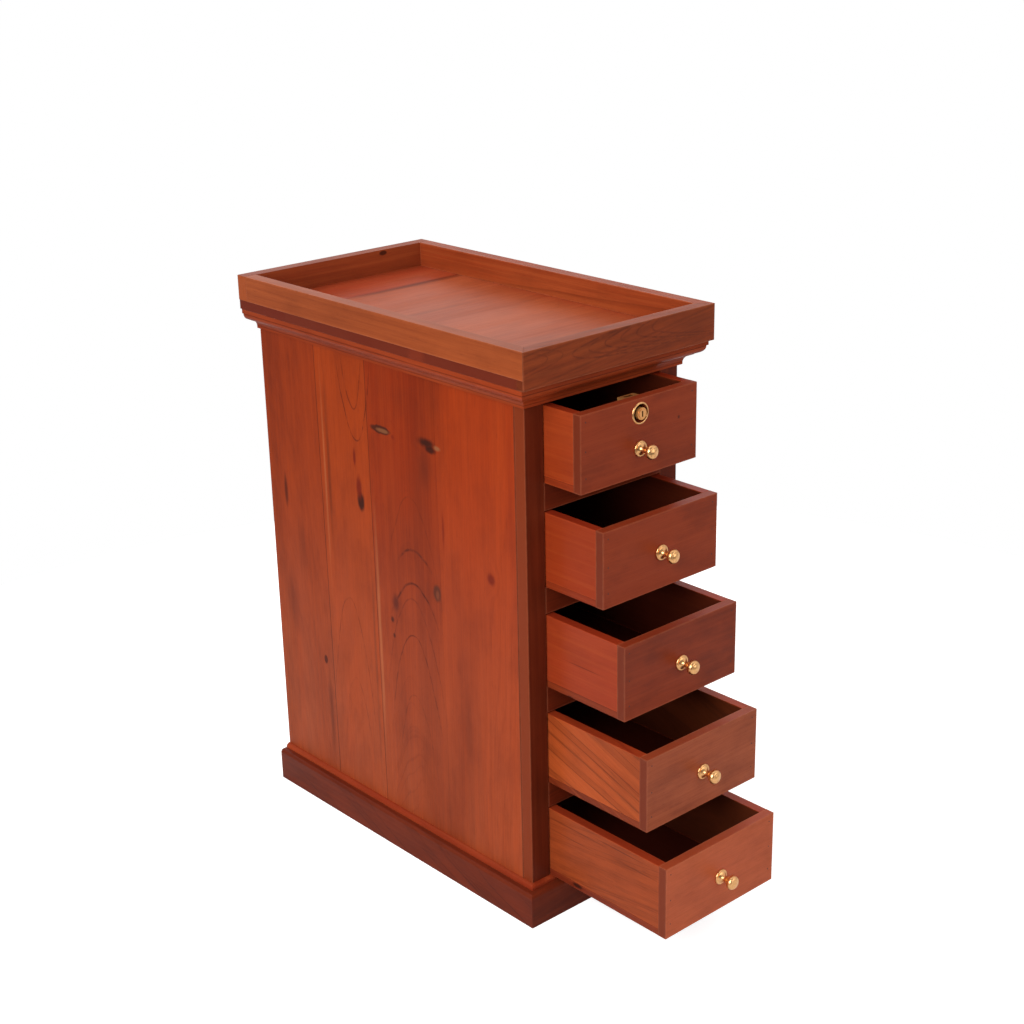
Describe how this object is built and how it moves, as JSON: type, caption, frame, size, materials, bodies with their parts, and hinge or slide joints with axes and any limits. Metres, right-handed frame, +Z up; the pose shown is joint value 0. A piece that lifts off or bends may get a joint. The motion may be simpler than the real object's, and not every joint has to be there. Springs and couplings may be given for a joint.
{
  "type": "chest of drawers",
  "caption": "Narrow wooden chest with inset sliding drawers, brass knobs, a lock on the top drawer, a moulded cornice, a plinth and a shallow tray for a top.",
  "frame": {"origin": "on the floor, in the middle of the width and in the plane of the closed drawer fronts, on the underside of the front plinth board", "axes": "+Z up, +Y to the back, +X to the right as seen by someone facing the drawers"},
  "size_m": [0.254, 0.609, 0.61],
  "materials": {
    "side_boards": "satin reddish stain",
    "dark_wood": "satin dark stain",
    "inner_wood": "raw",
    "tray_wood": "satin reddish stain",
    "tray_board": "satin reddish stain",
    "moulding_wood": "satin reddish stain",
    "drawer_front_wood": "satin brown-red stain",
    "drawer_side_wood": "satin reddish stain",
    "drawer_bottom_wood": "satin",
    "knob_brass": "polished",
    "lock_brass": "polished"
  },
  "bodies": {
    "case": {"case_side_left": "side_boards", "case_side_right": "side_boards", "stile_left": "dark_wood", "stile_right": "dark_wood", "top_rail": "dark_wood", "rail_1": "dark_wood", "rail_2": "dark_wood", "rail_3": "dark_wood", "rail_4": "dark_wood", "case_base": "dark_wood", "case_back": "dark_wood", "runners_left": "inner_wood", "runners_right": "inner_wood", "tray_rim_front": "tray_wood", "tray_rim_left": "tray_wood", "tray_rim_right": "tray_wood", "tray_rim_back": "tray_wood", "tray_floor": "tray_board", "cornice_front": "moulding_wood", "cornice_left": "moulding_wood", "cornice_right": "moulding_wood", "plinth_front": "moulding_wood", "plinth_left": "moulding_wood", "plinth_right": "moulding_wood", "plinth_bead": "moulding_wood"},
    "drawer_1": {"drawer_1_front": "drawer_front_wood", "drawer_1_side_left": "drawer_side_wood", "drawer_1_side_right": "drawer_side_wood", "drawer_1_back": "drawer_side_wood", "drawer_1_bottom": "drawer_bottom_wood", "drawer_1_knob": "knob_brass", "lock_case": "lock_brass", "lock_ring": "lock_brass", "lock_screws": "lock_brass"},
    "drawer_2": {"drawer_2_front": "drawer_front_wood", "drawer_2_side_left": "drawer_side_wood", "drawer_2_side_right": "drawer_side_wood", "drawer_2_back": "drawer_side_wood", "drawer_2_bottom": "drawer_bottom_wood", "drawer_2_knob": "knob_brass"},
    "drawer_3": {"drawer_3_front": "drawer_front_wood", "drawer_3_side_left": "drawer_side_wood", "drawer_3_side_right": "drawer_side_wood", "drawer_3_back": "drawer_side_wood", "drawer_3_bottom": "drawer_bottom_wood", "drawer_3_knob": "knob_brass"},
    "drawer_4": {"drawer_4_front": "drawer_front_wood", "drawer_4_side_left": "drawer_side_wood", "drawer_4_side_right": "drawer_side_wood", "drawer_4_back": "drawer_side_wood", "drawer_4_bottom": "drawer_bottom_wood", "drawer_4_knob": "knob_brass"},
    "drawer_5": {"drawer_5_front": "drawer_front_wood", "drawer_5_side_left": "drawer_side_wood", "drawer_5_side_right": "drawer_side_wood", "drawer_5_back": "drawer_side_wood", "drawer_5_bottom": "drawer_bottom_wood", "drawer_5_knob": "knob_brass"},
    "lock_plug": {"lock_plug": "lock_brass"},
    "lock_bolt": {"lock_bolt": "lock_brass"}
  },
  "joints": [
    {"name": "drawer_1_slide", "type": "slide", "parent": "case", "child": "drawer_1", "axis": [0, -1, 0], "range_m": [-0.049, 0.241]},
    {"name": "drawer_2_slide", "type": "slide", "parent": "case", "child": "drawer_2", "axis": [0, -1, 0], "range_m": [-0.078, 0.212]},
    {"name": "drawer_3_slide", "type": "slide", "parent": "case", "child": "drawer_3", "axis": [0, -1, 0], "range_m": [-0.106, 0.184]},
    {"name": "drawer_4_slide", "type": "slide", "parent": "case", "child": "drawer_4", "axis": [0, -1, 0], "range_m": [-0.136, 0.154]},
    {"name": "drawer_5_slide", "type": "slide", "parent": "case", "child": "drawer_5", "axis": [0, -1, 0], "range_m": [-0.162, 0.128]},
    {"name": "lock_plug_turn", "type": "hinge", "parent": "drawer_1", "child": "lock_plug", "pos_m": [0, -0.049, 0.5305], "axis": [0, -1, 0], "range_deg": [0, 90]},
    {"name": "lock_bolt_slide", "type": "slide", "parent": "drawer_1", "child": "lock_bolt", "axis": [0, 0, 1], "range_m": [0, 0.008]}
  ],
  "couplings": [
    {"joint": "lock_bolt_slide", "follows": "lock_plug_turn", "m_per_rad": 0.0050929}
  ]
}
